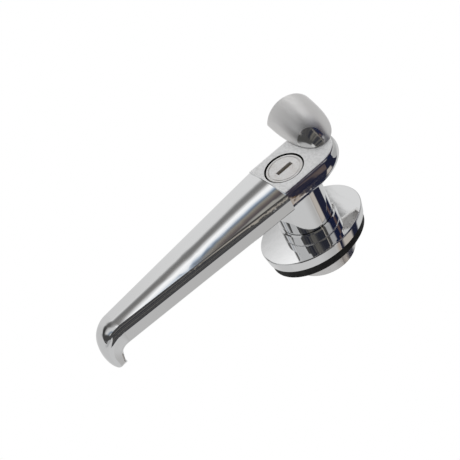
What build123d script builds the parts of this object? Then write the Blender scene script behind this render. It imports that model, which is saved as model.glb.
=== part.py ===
"""Lever handle lock with a swinging dust cap, for the door of a cabinet, canopy or truck box.

Frame: the door panel is upright and its outer face is the plane Y = 0. The lock stands out of the panel
along -Y and its lever hangs down along -Z. The origin is the middle of the panel seat, on the lever's
axis. All heights below are measured outwards from the panel seat, in millimetres.
"""
from build123d import *
from math import atan2, cos, degrees, hypot, radians, sin, sqrt
import os

# Clearances between pieces that move on each other
RUNNING_GAP = 0.05
AXIAL_GAP = 0.10
CAP_GAP = 0.30

# Panel gasket
GASKET_THICK = 5.0
GASKET_INSET = 1.0
GASKET_EDGE = 0.9

# Escutcheon: oval flange, collar in front, round boss behind
FLANGE_HALF_WIDTH = 20.7
FLANGE_HALF_LENGTH = 26.7
FLANGE_RIM = 5.7
FLANGE_DRAFT = 0.9
FLANGE_EDGE = 0.5
COLLAR_RADIUS = 13.65
COLLAR_HEIGHT = 6.0
COLLAR_EDGE = 0.5
GASKET_REGISTER_RADIUS = 15.9
BOSS_RADIUS = 15.6
BOSS_DEPTH = 8.4
BOSS_EDGE = 0.6
RECESS_RADIUS = 13.4
RECESS_DEPTH = 5.4
SCREW_HOLE_RADIUS = 2.1
SCREW_HOLE_DEPTH = 4.4
SCREW_HOLE_FREE = 0.5

# Lever: stem, head with the flat face, tapering arm and hooked tip
STEM_GAP = 0.30
STEM_RADIUS = 12.45
STEM_LENGTH = 19.5
HEAD_THICK = 10.6
HEAD_HALF_WIDTH = 13.6
HEAD_LENGTH = 25.7
HEAD_END_CENTRE = 12.0
HEAD_WAIST_DEPTH = 5.5
HEAD_WAIST_HALF_WIDTH = 14.6
HEAD_WAIST_LENGTH = 26.9
HEAD_WAIST_CENTRE = 11.3
HEAD_ROOT_LEDGE = 0.1
HEAD_ROOT_LENGTH = 23.1
HEAD_ROOT_CENTRE = 6.2
HEAD_TOP_EDGE = 1.4
STEP_DISTANCE = 10.2
STEP_HEIGHT = 0.3
ARM_REACH = 101.5
ARM_FALL = 2.3
ARM_ROOT_THICK = 10.0
ARM_END_THICK = 10.1
ARM_ROOT_HALF_WIDTH = 15.3
ARM_END_HALF_WIDTH = 7.75
ARM_HEEL = 2.2
ARM_CROWN_RATIO = 7.2
HOOK_OUTER_RADIUS = 11.6
HOOK_INNER_RADIUS = 4.2
HOOK_NARROWING = 2.15
HOOK_LIP_DROP = 23.2
HOOK_LIP_THICK = 4.8
HOOK_LIP_HALF_WIDTH = 3.6
HOOK_LIP_TUCK = 0.55
HOOK_LIP_ROOT_RISE = 4.4
HOOK_LIP_ROOT_SWELL = 1.9
HOOK_LIP_ROOT_WIDER = 1.4
JOURNAL_RADIUS = 11.0
DRIVE_SQUARE = 10.0
DRIVE_ROUND_RADIUS = 6.3
DRIVE_LENGTH = 9.4

# Seal ring between stem and collar
SEAL_WIRE_RADIUS = 0.8
SEAL_SQUEEZE = 0.25

# Lock barrel in the head
BARREL_RADIUS = 8.65
BARREL_LENGTH = 30.2
BARREL_SINK = 0.35
BARREL_FIT = 0.03
BARREL_EDGE = 0.15
FRONT_RING_GAP = 0.65
FRONT_RING_DEPTH = 2.0
PLUG_RADIUS = 6.4
PLUG_FACE_RADIUS = 7.6
PLUG_FACE_THICK = 1.6
PLUG_TAIL_RADIUS = 2.6
PLUG_BEHIND_BARREL = 1.6
PLUG_CLIP_THICK = 0.8
PLUG_CLIP_RADIUS = 7.6
PLUG_CLIP_GROOVE_RADIUS = 5.6
TAIL_SQUARE = 3.0
TAIL_CLIP_THICK = 0.7
TAIL_CLIP_RADIUS = 2.7
TAIL_GROOVE_RADIUS = 1.6
TAIL_TIP = 0.4
KEYWAY_HEIGHT = 8.5
KEYWAY_WIDTH = 2.3
KEYWAY_DEPTH = 25.0
WARD_DEPTH = 0.55
WAFER_COUNT = 5
WAFER_PITCH = 3.4
WAFER_THICK = 1.0
WAFER_FIRST = 5.2
WAFER_WIDTH = 6.2
WAFER_LENGTH = 10.6
WAFER_WINDOW_WIDTH = 2.9
WAFER_WINDOW_HEIGHT = 6.0
WAFER_TAB = 1.5
WAFER_TAB_THICK = 0.9
WAFER_FREE = 0.06
WAFER_TRACK_WIDTH = 6.8
WAFER_TRACK_RADIUS = 7.7
WAFER_SPRING_RADIUS = 0.5
WAFER_SPRING_WIRE = 0.15
WAFER_POCKET_LENGTH = 5.2
RETAINING_PIN_RADIUS = 1.2
RETAINING_PIN_HEIGHT = 24.0
RETAINING_PIN_BITE = 1.3

# Cam and locking bolt
CAM_SPACE_RADIUS = 6.8
CAM_SPACE_FLOOR = 3.4
CAM_THICK = 4.6
CAM_LOW_RADIUS = 2.8
CAM_POINTS = 9
KEY_TURN = 90.0
BOLT_TRAVEL = 3.0
BOLT_HEIGHT = 7.8
BOLT_RADIUS = 2.5
BOLT_HEAD_RADIUS = 3.7
BOLT_HEAD_THICK = 1.1
BOLT_TIP_EDGE = 0.5
BOLT_SHELF = 9.3
BOLT_SPRING_BORE = 3.9
NOTCH_CLEARANCE = 0.35
SPRING_WIRE_RADIUS = 0.25
SPRING_MEAN_RADIUS = 3.2
SPRING_TURNS = 4

# Stop plate and what holds the lever in the escutcheon
STOP_PLATE_THICK = 3.0
STOP_PLATE_RADIUS = 10.4
STOP_TAB_RADIUS = 13.1
STOP_TAB_ANGLE = 44.0
STOP_SIDE_GAP = 1.0
LEVER_TURN = 90.0
WAVE_SPACE = 0.9
WAVE_RADIUS = 9.0
CIRCLIP_THICK = 1.0
CIRCLIP_RADIUS = 9.2
CIRCLIP_GROOVE_RADIUS = 5.7
CIRCLIP_OPENING = 9.0
CAM_SCREW_RADIUS = 3.0
CAM_SCREW_LENGTH = 9.0
CAM_SCREW_HEAD_RADIUS = 5.0
CAM_SCREW_HEAD_HEIGHT = 2.6
CAM_SCREW_SOCKET = 3.0
CAM_WASHER_RADIUS = 7.0
CAM_WASHER_THICK = 1.0
LOCK_WASHER_RADIUS = 4.9
LOCK_WASHER_THICK = 1.3
LOCK_WASHER_SPLIT = 0.8

# Dust cap: a domed shell with a round end and a flat end, swung open about its pivot pin
PIVOT_SIDE = 0.8
PIVOT_DISTANCE = 20.0
CAP_OPEN_ANGLE = 99.8
CAP_END_GAP = 0.95
CAP_TURNED_RADIUS = 12.3
CAP_AXIS_SINK = 4.03
CAP_BEYOND_PIVOT = 5.25
CAP_SQUARENESS = 2.5
CAP_WALL = 1.2
CAP_BOSS_RADIUS = 2.6
CAP_PROFILE_POINTS = 9
PIN_RADIUS = 1.6
PIN_IN_BOSS = 1.7
PIN_WELL_RADIUS = 2.4
PIN_WELL_DEPTH = 2.6
CAP_WASHER_RADIUS = 2.2
CAP_WASHER_THICK = 0.7
CAP_RING_THICK = 1.0
CAP_RING_GROOVE_RADIUS = 1.25
CAP_RING_OPENING = 1.9

# Levels along the lever's axis, worked out from the sizes above
FLANGE_TOP = GASKET_THICK + FLANGE_RIM
COLLAR_TOP = FLANGE_TOP + COLLAR_HEIGHT
STEM_BOTTOM = COLLAR_TOP + STEM_GAP
HEAD_BOTTOM = STEM_BOTTOM + STEM_LENGTH
FACE = HEAD_BOTTOM + HEAD_THICK
BOSS_END = -BOSS_DEPTH
RECESS_FLOOR = BOSS_END + RECESS_DEPTH
JOURNAL_END = RECESS_FLOOR - AXIAL_GAP
PLATE_END = JOURNAL_END - STOP_PLATE_THICK
WAVE_END = PLATE_END - WAVE_SPACE
CLIP_END = WAVE_END - CIRCLIP_THICK
DRIVE_END = JOURNAL_END - DRIVE_LENGTH
WASHER_END = DRIVE_END - CAM_WASHER_THICK
LOCK_END = WASHER_END - LOCK_WASHER_THICK
SCREW_TIP = LOCK_END + CAM_SCREW_LENGTH
BARREL_TOP = FACE - BARREL_SINK
BARREL_FLOOR = BARREL_TOP - BARREL_LENGTH
PLUG_END = BARREL_FLOOR - PLUG_BEHIND_BARREL
CAM_TOP = BOLT_HEIGHT + CAM_THICK / 2
CAM_BOTTOM = BOLT_HEIGHT - CAM_THICK / 2
SEAL_HEIGHT = STEM_BOTTOM - SEAL_WIRE_RADIUS
CAP_RIM = FACE + CAP_GAP
WELL_TOP = HEAD_BOTTOM + PIN_WELL_DEPTH

# Gasket outline, and flange screws midway between the gasket's edge and its register
GASKET_HALF_WIDTH = FLANGE_HALF_WIDTH - FLANGE_DRAFT - GASKET_INSET
GASKET_HALF_LENGTH = FLANGE_HALF_LENGTH - FLANGE_DRAFT - GASKET_INSET
SCREW_SPACING = GASKET_HALF_LENGTH + GASKET_REGISTER_RADIUS

# Radii that follow from mating pieces
BORE_RADIUS = JOURNAL_RADIUS + RUNNING_GAP
BOLT_TIP = JOURNAL_RADIUS - NOTCH_CLEARANCE
NOTCH_END = BOLT_TIP + BOLT_TRAVEL + NOTCH_CLEARANCE
SEAL_GROOVE_RADIUS = JOURNAL_RADIUS - SEAL_SQUEEZE
SEAL_RING_RADIUS = SEAL_GROOVE_RADIUS + SEAL_WIRE_RADIUS
SEAL_SEAT_RADIUS = SEAL_RING_RADIUS + SEAL_WIRE_RADIUS + RUNNING_GAP
STOP_ANGLE = 180 - LEVER_TURN - STOP_TAB_ANGLE - 2 * STOP_SIDE_GAP
CAM_LEAD = BOLT_TRAVEL / radians(KEY_TURN)
BOLT_HEAD_FACE = CAM_LOW_RADIUS + RUNNING_GAP
SPRING_START = BOLT_HEAD_FACE + BOLT_HEAD_THICK


def level(height):
    """Plane parallel to the panel at a height above it, with X to the right and Y up the door."""
    return Plane.XZ.offset(height)


def side_plane(height, reach):
    """Plane across the X direction at a height, set out along X by a reach, facing away from the axis."""
    return Plane(origin=(reach, -height, 0), x_dir=(0, 1, 0), z_dir=(1 if reach >= 0 else -1, 0, 0))


def disc(height, thick, outer, inner=0.0):
    """Disc or ring around the lever's axis that reaches inwards from a height."""
    with BuildSketch(level(height)) as flat:
        Circle(outer)
        if inner:
            Circle(inner, mode=Mode.SUBTRACT)
    extrude(flat.sketch, amount=-thick)


def bore(height, depth, radius):
    """Round bore on the lever's axis that goes inwards from a height."""
    with BuildSketch(level(height)) as mouth:
        Circle(radius)
    extrude(mouth.sketch, amount=-depth, mode=Mode.SUBTRACT)


def sector(inner, outer, centre_angle, width_angle):
    """Ring sector around the axis, added to the sketch that is being drawn."""
    start = centre_angle - width_angle / 2
    with BuildLine() as outline:
        inside = CenterArc((0, 0), inner, start, width_angle)
        outside = CenterArc((0, 0), outer, start, width_angle)
        Line(inside @ 0, outside @ 0)
        Line(inside @ 1, outside @ 1)
    make_face(outline.edges())


def export_piece(piece, name):
    """Label a finished piece and write it to its own file."""
    piece.part.label = name
    export_step(piece.part, f"parts/{name}.step")


os.makedirs("parts", exist_ok=True)

# Escutcheon casting
with BuildPart() as escutcheon:
    with BuildSketch(level(GASKET_THICK)):
        Ellipse(FLANGE_HALF_WIDTH - FLANGE_DRAFT, FLANGE_HALF_LENGTH - FLANGE_DRAFT)
    with BuildSketch(level(FLANGE_TOP)):
        Ellipse(FLANGE_HALF_WIDTH, FLANGE_HALF_LENGTH)
    loft()
    fillet(escutcheon.edges().sort_by(Axis.Y)[0], FLANGE_EDGE)
    disc(COLLAR_TOP, COLLAR_HEIGHT + 1, COLLAR_RADIUS)
    chamfer(escutcheon.faces().sort_by(Axis.Y)[0].edges(), COLLAR_EDGE)
    disc(GASKET_THICK + 1, GASKET_THICK + 1, GASKET_REGISTER_RADIUS)
    disc(0, BOSS_DEPTH, BOSS_RADIUS)
    chamfer(escutcheon.faces().sort_by(Axis.Y)[-1].edges(), BOSS_EDGE)
    bore(COLLAR_TOP, COLLAR_TOP + BOSS_DEPTH, BORE_RADIUS)
    bore(COLLAR_TOP, COLLAR_TOP - SEAL_HEIGHT + SEAL_WIRE_RADIUS + RUNNING_GAP, SEAL_SEAT_RADIUS)
    # Recess behind, with two stops left standing that limit the lever's turn
    with BuildSketch(level(BOSS_END)):
        for side in (0, 180):
            sector(1.0, RECESS_RADIUS, side + LEVER_TURN / 2, 180 - STOP_ANGLE)
    extrude(amount=RECESS_DEPTH, mode=Mode.SUBTRACT)
    # Notches for the locking bolt, one with the lever down and one with the lever turned
    for angle in (0, LEVER_TURN):
        with BuildSketch(level(RECESS_FLOOR - 1)):
            with Locations(Location((0, 0), angle)):
                with Locations((NOTCH_END / 2, 0)):
                    Rectangle(NOTCH_END, 2 * (BOLT_RADIUS + NOTCH_CLEARANCE))
        extrude(amount=BOLT_HEIGHT + BOLT_RADIUS + NOTCH_CLEARANCE - RECESS_FLOOR + 1, mode=Mode.SUBTRACT)
    with BuildSketch(level(GASKET_THICK)):
        with GridLocations(0, SCREW_SPACING, 1, 2):
            Circle(SCREW_HOLE_RADIUS)
    extrude(amount=SCREW_HOLE_DEPTH, mode=Mode.SUBTRACT)
export_piece(escutcheon, "escutcheon")

# Rubber gasket between flange and panel
with BuildPart() as panel_gasket:
    with BuildSketch(level(0)):
        Ellipse(GASKET_HALF_WIDTH, GASKET_HALF_LENGTH)
    extrude(amount=GASKET_THICK)
    fillet(panel_gasket.edges().sort_by(Axis.Y)[0], GASKET_EDGE)
    with BuildSketch(level(0)):
        Circle(GASKET_REGISTER_RADIUS + RUNNING_GAP)
        with GridLocations(0, SCREW_SPACING, 1, 2):
            Circle(SCREW_HOLE_RADIUS + SCREW_HOLE_FREE)
    extrude(amount=GASKET_THICK, mode=Mode.SUBTRACT)
export_piece(panel_gasket, "panel_gasket")

# Lever casting. A section of the arm is set by a point on its outer side and one on its inner side.
OUTER_CENTRE_HEIGHT = FACE - STEP_HEIGHT - ARM_FALL - HOOK_OUTER_RADIUS
INNER_CENTRE_HEIGHT = FACE - STEP_HEIGHT - ARM_FALL - ARM_END_THICK - HOOK_INNER_RADIUS
LIP_HEIGHT = FACE - HOOK_LIP_DROP
LIP_ROOT = LIP_HEIGHT + HOOK_LIP_ROOT_RISE
LIP_INNER_Z = -ARM_REACH - HOOK_INNER_RADIUS - HOOK_LIP_TUCK
LIP_OUTER_Z = LIP_INNER_Z - HOOK_LIP_THICK
LIP_ROOT_OUTER_Z = LIP_OUTER_Z - HOOK_LIP_ROOT_SWELL
LIP_ROOT_HALF_WIDTH = HOOK_LIP_HALF_WIDTH + HOOK_LIP_ROOT_WIDER


def arm_station(share):
    """Outer point, inner point and half width at a share of the way from the step to the hook."""
    down = -(STEP_DISTANCE + (ARM_REACH - STEP_DISTANCE) * share)
    outer = FACE - STEP_HEIGHT - ARM_FALL * share
    thick = ARM_ROOT_THICK + (ARM_END_THICK - ARM_ROOT_THICK) * share
    half_width = ARM_ROOT_HALF_WIDTH + (ARM_END_HALF_WIDTH - ARM_ROOT_HALF_WIDTH) * share
    return (outer, down), (outer - thick, down), half_width


def hook_station(share):
    """Outer point, inner point and half width at a share of the hook's turn of 80 degrees."""
    up = cos(radians(80 * share))
    out = sin(radians(80 * share))
    outer = (OUTER_CENTRE_HEIGHT + HOOK_OUTER_RADIUS * up, -ARM_REACH - HOOK_OUTER_RADIUS * out)
    inner = (INNER_CENTRE_HEIGHT + HOOK_INNER_RADIUS * up, -ARM_REACH - HOOK_INNER_RADIUS * out)
    return outer, inner, ARM_END_HALF_WIDTH - HOOK_NARROWING * share**1.45


def arm_section(station, crown_ratio, shoulder, heel):
    """One section of the arm as a face: crowned on the outer side, with rounded shoulders and heels."""
    outer, inner, half_width = station
    crown = crown_ratio * half_width
    thick = hypot(outer[0] - inner[0], outer[1] - inner[1])
    up = Vector(0, -(outer[0] - inner[0]), outer[1] - inner[1]).normalized()
    plane = Plane(origin=(0, -inner[0], inner[1]), x_dir=(1, 0, 0), z_dir=Vector(1, 0, 0).cross(up))
    reach = half_width - shoulder
    shoulder_up = thick - crown + sqrt((crown - shoulder) ** 2 - reach**2)
    lean = 90 - degrees(atan2(reach, shoulder_up - thick + crown))
    with BuildSketch(plane) as cut:
        with BuildLine():
            right_heel = CenterArc((half_width - heel, heel), heel, -90, 90)
            right_shoulder = CenterArc((reach, shoulder_up), shoulder, 0, lean)
            CenterArc((0, thick - crown), crown, lean, 180 - 2 * lean)
            left_shoulder = CenterArc((-reach, shoulder_up), shoulder, 180 - lean, lean)
            left_heel = CenterArc((-half_width + heel, heel), heel, 180, 90)
            Line(left_heel @ 1, right_heel @ 0)
            Line(right_heel @ 1, right_shoulder @ 0)
            Line(left_shoulder @ 1, left_heel @ 0)
        make_face()
    return cut.sketch.face()


def head_outline(half_width, length, centre):
    """Outline of the head, added to the sketch: straight sides from the step, oval far end."""
    with BuildLine() as outline:
        Line((half_width, centre), (half_width, -STEP_DISTANCE))
        Line((half_width, -STEP_DISTANCE), (-half_width, -STEP_DISTANCE))
        Line((-half_width, -STEP_DISTANCE), (-half_width, centre))
        EllipticalCenterArc((0, centre), half_width, length - centre, start_angle=0, arc_size=180)
    make_face(outline.edges())


with BuildPart() as lever:
    # The head swells below its face and draws in again to meet the stem
    with BuildSketch(level(HEAD_BOTTOM)):
        head_outline(STEM_RADIUS + HEAD_ROOT_LEDGE, HEAD_ROOT_LENGTH, HEAD_ROOT_CENTRE)
    with BuildSketch(level(FACE - HEAD_WAIST_DEPTH)):
        head_outline(HEAD_WAIST_HALF_WIDTH, HEAD_WAIST_LENGTH, HEAD_WAIST_CENTRE)
    with BuildSketch(level(FACE)):
        head_outline(HEAD_HALF_WIDTH, HEAD_LENGTH, HEAD_END_CENTRE)
    loft()
    rim = lever.faces().sort_by(Axis.Y)[0].edges()
    fillet([edge for edge in rim if edge.center().Z > 0.01 - STEP_DISTANCE], HEAD_TOP_EDGE)
    # Straight arm, then the hook that starts from the arm's last section
    arm_end = arm_section(arm_station(1.0), ARM_CROWN_RATIO, 3.0, ARM_HEEL)
    lip_root = ((LIP_ROOT, LIP_ROOT_OUTER_Z), (LIP_ROOT, LIP_INNER_Z), LIP_ROOT_HALF_WIDTH)
    lip_end = ((LIP_HEIGHT, LIP_OUTER_Z), (LIP_HEIGHT, LIP_INNER_Z), HOOK_LIP_HALF_WIDTH)
    loft([
        arm_section(arm_station(0.0), ARM_CROWN_RATIO, 2.4, ARM_HEEL),
        arm_section(arm_station(0.25), ARM_CROWN_RATIO, 2.55, ARM_HEEL),
        arm_section(arm_station(0.5), ARM_CROWN_RATIO, 2.7, ARM_HEEL),
        arm_section(arm_station(0.75), ARM_CROWN_RATIO, 2.85, ARM_HEEL),
        arm_end,
    ])
    loft([
        arm_end,
        arm_section(hook_station(0.25), 5.2, 3.0, ARM_HEEL),
        arm_section(hook_station(0.5), 3.4, 3.0, 2.1),
        arm_section(hook_station(0.75), 2.2, 2.8, 1.9),
        arm_section(hook_station(1.0), 1.7, 2.5, 1.6),
        arm_section(lip_root, 1.6, 2.1, 1.2),
        arm_section(lip_end, 1.9, 1.7, 0.8),
    ])
    # Stem, journal and square drive
    disc(HEAD_BOTTOM + 2, STEM_LENGTH + 2, STEM_RADIUS)
    disc(STEM_BOTTOM, STEM_BOTTOM - JOURNAL_END, JOURNAL_RADIUS)
    with BuildSketch(level(JOURNAL_END)):
        Circle(DRIVE_ROUND_RADIUS)
        Rectangle(DRIVE_SQUARE, DRIVE_SQUARE, mode=Mode.INTERSECT)
    extrude(amount=-DRIVE_LENGTH)
    # Grooves for the seal ring and the circlip
    for top, thick, radius in ((STEM_BOTTOM, 2 * SEAL_WIRE_RADIUS, SEAL_GROOVE_RADIUS),
                               (WAVE_END, CIRCLIP_THICK, CIRCLIP_GROOVE_RADIUS)):
        with BuildSketch(level(top)):
            Circle(STEM_RADIUS - 0.1)
            Circle(radius, mode=Mode.SUBTRACT)
        extrude(amount=-thick, mode=Mode.SUBTRACT)
    # Bore for the lock barrel, space for its cam, threaded hole for the cam screw
    bore(FACE, FACE - BARREL_FLOOR + PLUG_CLIP_THICK + 2 * AXIAL_GAP, BARREL_RADIUS + BARREL_FIT)
    bore(FACE, FRONT_RING_DEPTH, BARREL_RADIUS + FRONT_RING_GAP)
    bore(BARREL_FLOOR, BARREL_FLOOR - CAM_SPACE_FLOOR, CAM_SPACE_RADIUS)
    bore(SCREW_TIP + 1, SCREW_TIP + 1 - DRIVE_END, CAM_SCREW_RADIUS + RUNNING_GAP)
    # Cross bore for the locking bolt and its spring
    with BuildSketch(side_plane(BOLT_HEIGHT, 0)):
        Circle(BOLT_RADIUS + RUNNING_GAP)
    extrude(amount=JOURNAL_RADIUS + 1, mode=Mode.SUBTRACT)
    with BuildSketch(side_plane(BOLT_HEIGHT, 0)):
        Circle(BOLT_SPRING_BORE)
    extrude(amount=BOLT_SHELF, mode=Mode.SUBTRACT)
    # Cross hole for the pin that keeps the barrel
    with BuildSketch(side_plane(RETAINING_PIN_HEIGHT, -BARREL_RADIUS)):
        Circle(RETAINING_PIN_RADIUS + BARREL_FIT)
    extrude(amount=STEM_RADIUS - BARREL_RADIUS + 1, both=True, mode=Mode.SUBTRACT)
    # Hole and underside well for the dust cap's pivot pin
    with BuildSketch(level(FACE)):
        with Locations((PIVOT_SIDE, PIVOT_DISTANCE)):
            Circle(PIN_RADIUS + RUNNING_GAP)
    extrude(amount=-HEAD_THICK, mode=Mode.SUBTRACT)
    with BuildSketch(level(WELL_TOP)):
        with Locations((PIVOT_SIDE, PIVOT_DISTANCE)):
            Circle(PIN_WELL_RADIUS)
    extrude(amount=-PIN_WELL_DEPTH, mode=Mode.SUBTRACT)
export_piece(lever, "lever")

# Seal ring in the groove under the stem
with BuildPart() as stem_o_ring:
    with BuildSketch(Plane.XY):
        with Locations((SEAL_RING_RADIUS, -SEAL_HEIGHT)):
            Circle(SEAL_WIRE_RADIUS)
    revolve(axis=Axis.Y)
export_piece(stem_o_ring, "stem_o_ring")

# Barrel housing with the tracks that the wafers drop into when the key is out
with BuildPart() as barrel_housing:
    disc(BARREL_TOP, BARREL_LENGTH, BARREL_RADIUS, PLUG_RADIUS + RUNNING_GAP)
    chamfer(barrel_housing.edges().group_by(Axis.Y)[0].sort_by(SortBy.RADIUS)[-1], BARREL_EDGE)
    bore(BARREL_TOP, PLUG_FACE_THICK + RUNNING_GAP, PLUG_FACE_RADIUS + RUNNING_GAP)
    with BuildSketch(level(BARREL_FLOOR)):
        Circle(WAFER_TRACK_RADIUS)
        Rectangle(WAFER_TRACK_WIDTH, 2 * BARREL_RADIUS, mode=Mode.INTERSECT)
    extrude(amount=BARREL_LENGTH - WAFER_FIRST + 1.5, mode=Mode.SUBTRACT)
    with BuildSketch(side_plane(RETAINING_PIN_HEIGHT, -BARREL_RADIUS)):
        Circle(RETAINING_PIN_RADIUS + BARREL_FIT)
    extrude(amount=-RETAINING_PIN_BITE, mode=Mode.SUBTRACT)
export_piece(barrel_housing, "barrel_housing")

# Pin that keeps the barrel in the lever
PIN_START = BARREL_RADIUS - RETAINING_PIN_BITE + AXIAL_GAP
with BuildPart() as barrel_pin:
    with BuildSketch(side_plane(RETAINING_PIN_HEIGHT, -PIN_START)):
        Circle(RETAINING_PIN_RADIUS)
    extrude(amount=STEM_RADIUS - PIN_START - 0.2)
    chamfer(barrel_pin.faces().sort_by(Axis.X)[0].edges(), 0.2)
export_piece(barrel_pin, "barrel_pin")

# Stop plate on the square drive
with BuildPart() as stop_plate:
    with BuildSketch(level(JOURNAL_END)):
        Circle(STOP_PLATE_RADIUS)
        for side in (0, 180):
            sector(STOP_PLATE_RADIUS - 2, STOP_TAB_RADIUS, side, STOP_TAB_ANGLE)
        with BuildSketch(mode=Mode.SUBTRACT):
            Circle(DRIVE_ROUND_RADIUS + RUNNING_GAP)
            Rectangle(DRIVE_SQUARE + 2 * RUNNING_GAP, DRIVE_SQUARE + 2 * RUNNING_GAP, mode=Mode.INTERSECT)
    extrude(amount=-STOP_PLATE_THICK)
export_piece(stop_plate, "stop_plate")

# Wave washer that takes up the play, pressed nearly flat
with BuildPart() as wave_washer:
    disc(PLATE_END, WAVE_SPACE, WAVE_RADIUS, DRIVE_ROUND_RADIUS + 0.2)
export_piece(wave_washer, "wave_washer")

# Circlip in the groove of the drive
with BuildPart() as drive_circlip:
    with BuildSketch(level(WAVE_END)):
        Circle(CIRCLIP_RADIUS)
        Circle(CIRCLIP_GROOVE_RADIUS + RUNNING_GAP, mode=Mode.SUBTRACT)
        with Locations((0, -CIRCLIP_RADIUS)):
            Rectangle(CIRCLIP_OPENING, CIRCLIP_RADIUS, mode=Mode.SUBTRACT)
        for side in (-1, 1):
            with Locations((side * CIRCLIP_OPENING * 0.62, -CIRCLIP_RADIUS * 0.78)):
                Circle(1.8)
                Circle(0.8, mode=Mode.SUBTRACT)
    extrude(amount=-CIRCLIP_THICK)
export_piece(drive_circlip, "drive_circlip")

# Washer, lock washer and screw that hold a cam on the drive
with BuildPart() as cam_washer:
    disc(DRIVE_END, CAM_WASHER_THICK, CAM_WASHER_RADIUS, CAM_SCREW_RADIUS + 0.2)
export_piece(cam_washer, "cam_washer")

with BuildPart() as cam_lock_washer:
    disc(WASHER_END, LOCK_WASHER_THICK, LOCK_WASHER_RADIUS, CAM_SCREW_RADIUS + 0.1)
    with BuildSketch(level(WASHER_END)):
        with Locations(Location((LOCK_WASHER_RADIUS * 0.75, 0), 20)):
            Rectangle(LOCK_WASHER_RADIUS, LOCK_WASHER_SPLIT)
    extrude(amount=-LOCK_WASHER_THICK, mode=Mode.SUBTRACT)
export_piece(cam_lock_washer, "cam_lock_washer")

with BuildPart() as cam_screw:
    disc(LOCK_END, CAM_SCREW_HEAD_HEIGHT, CAM_SCREW_HEAD_RADIUS)
    fillet(cam_screw.faces().sort_by(Axis.Y)[-1].edges(), 0.8)
    disc(SCREW_TIP, CAM_SCREW_LENGTH, CAM_SCREW_RADIUS)
    chamfer(cam_screw.faces().sort_by(Axis.Y)[0].edges(), 0.6)
    with BuildSketch(level(LOCK_END - CAM_SCREW_HEAD_HEIGHT)):
        RegularPolygon(CAM_SCREW_SOCKET, 6)
    extrude(amount=CAM_SCREW_HEAD_HEIGHT * 0.7, mode=Mode.SUBTRACT)
export_piece(cam_screw, "cam_screw")

# Key plug: face disc, round body with wafer slots and keyway, tail with a square end
WAFER_TOPS = [BARREL_TOP - WAFER_FIRST - WAFER_PITCH * index for index in range(WAFER_COUNT)]
POCKET_SIDE = WAFER_WIDTH / 2 + WAFER_TAB + WAFER_FREE
CLIP_TOP = BARREL_FLOOR - AXIAL_GAP / 2
with BuildPart() as key_plug:
    disc(BARREL_TOP, PLUG_FACE_THICK, PLUG_FACE_RADIUS)
    chamfer(key_plug.faces().sort_by(Axis.Y)[0].edges(), 0.3)
    disc(BARREL_TOP - 1, BARREL_TOP - 1 - PLUG_END, PLUG_RADIUS)
    with BuildSketch(level(CLIP_TOP)):
        Circle(PLUG_FACE_RADIUS)
        Circle(PLUG_CLIP_GROOVE_RADIUS, mode=Mode.SUBTRACT)
    extrude(amount=-PLUG_CLIP_THICK, mode=Mode.SUBTRACT)
    disc(PLUG_END, PLUG_END - CAM_TOP, PLUG_TAIL_RADIUS)
    with BuildSketch(level(CAM_TOP)):
        Rectangle(TAIL_SQUARE, TAIL_SQUARE)
    extrude(amount=-(CAM_THICK + TAIL_CLIP_THICK + TAIL_TIP))
    with BuildSketch(level(CAM_BOTTOM)):
        Circle(PLUG_TAIL_RADIUS)
        Circle(TAIL_GROOVE_RADIUS, mode=Mode.SUBTRACT)
    extrude(amount=-TAIL_CLIP_THICK, mode=Mode.SUBTRACT)
    with BuildSketch(level(BARREL_TOP)):
        Rectangle(KEYWAY_WIDTH, KEYWAY_HEIGHT)
    extrude(amount=-KEYWAY_DEPTH, mode=Mode.SUBTRACT)
    for top in WAFER_TOPS:
        with BuildSketch(level(top + WAFER_FREE)):
            Rectangle(WAFER_WIDTH + 2 * WAFER_FREE, 2 * PLUG_RADIUS + 1)
            with Locations((POCKET_SIDE / 2, 0)):
                Rectangle(POCKET_SIDE, WAFER_POCKET_LENGTH)
        extrude(amount=-(WAFER_THICK + 2 * WAFER_FREE), mode=Mode.SUBTRACT)
export_piece(key_plug, "key_plug")

# Wafers at the height that a key holds them, and their springs
WAFER_SIDE = WAFER_WIDTH / 2 + WAFER_TAB / 2
SPRING_LOW = -WAFER_POCKET_LENGTH / 2 + 1.5 * WAFER_TAB_THICK
for index, top in enumerate(WAFER_TOPS):
    with BuildPart() as wafer:
        with BuildSketch(level(top)):
            Rectangle(WAFER_WIDTH, WAFER_LENGTH)
            with Locations((WAFER_SIDE - 0.1, -WAFER_POCKET_LENGTH / 2 + WAFER_TAB_THICK)):
                Rectangle(WAFER_TAB + 0.2, WAFER_TAB_THICK)
            with Locations((0, 0.8 * (index % 3) - 0.8)):
                Rectangle(WAFER_WINDOW_WIDTH, WAFER_WINDOW_HEIGHT, mode=Mode.SUBTRACT)
        extrude(amount=-WAFER_THICK)
    export_piece(wafer, f"wafer_{index + 1}")
    with BuildPart() as wafer_spring:
        with BuildSketch(Plane(origin=(WAFER_SIDE, WAFER_THICK / 2 - top, SPRING_LOW))):
            Circle(WAFER_SPRING_RADIUS)
            Circle(WAFER_SPRING_RADIUS - WAFER_SPRING_WIRE, mode=Mode.SUBTRACT)
        extrude(amount=WAFER_POCKET_LENGTH / 2 - SPRING_LOW - WAFER_FREE)
    export_piece(wafer_spring, f"wafer_spring_{index + 1}")

# Clip that keeps the plug in the barrel
with BuildPart() as plug_clip:
    with BuildSketch(level(CLIP_TOP)):
        Circle(PLUG_CLIP_RADIUS)
        Circle(PLUG_CLIP_GROOVE_RADIUS + RUNNING_GAP, mode=Mode.SUBTRACT)
        with Locations((-PLUG_CLIP_RADIUS, 0)):
            Rectangle(PLUG_CLIP_RADIUS, 7, mode=Mode.SUBTRACT)
    extrude(amount=-PLUG_CLIP_THICK)
export_piece(plug_clip, "plug_clip")

# Cam on the plug's tail. Its flank pushes the bolt's flat head out evenly as the key turns.


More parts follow.
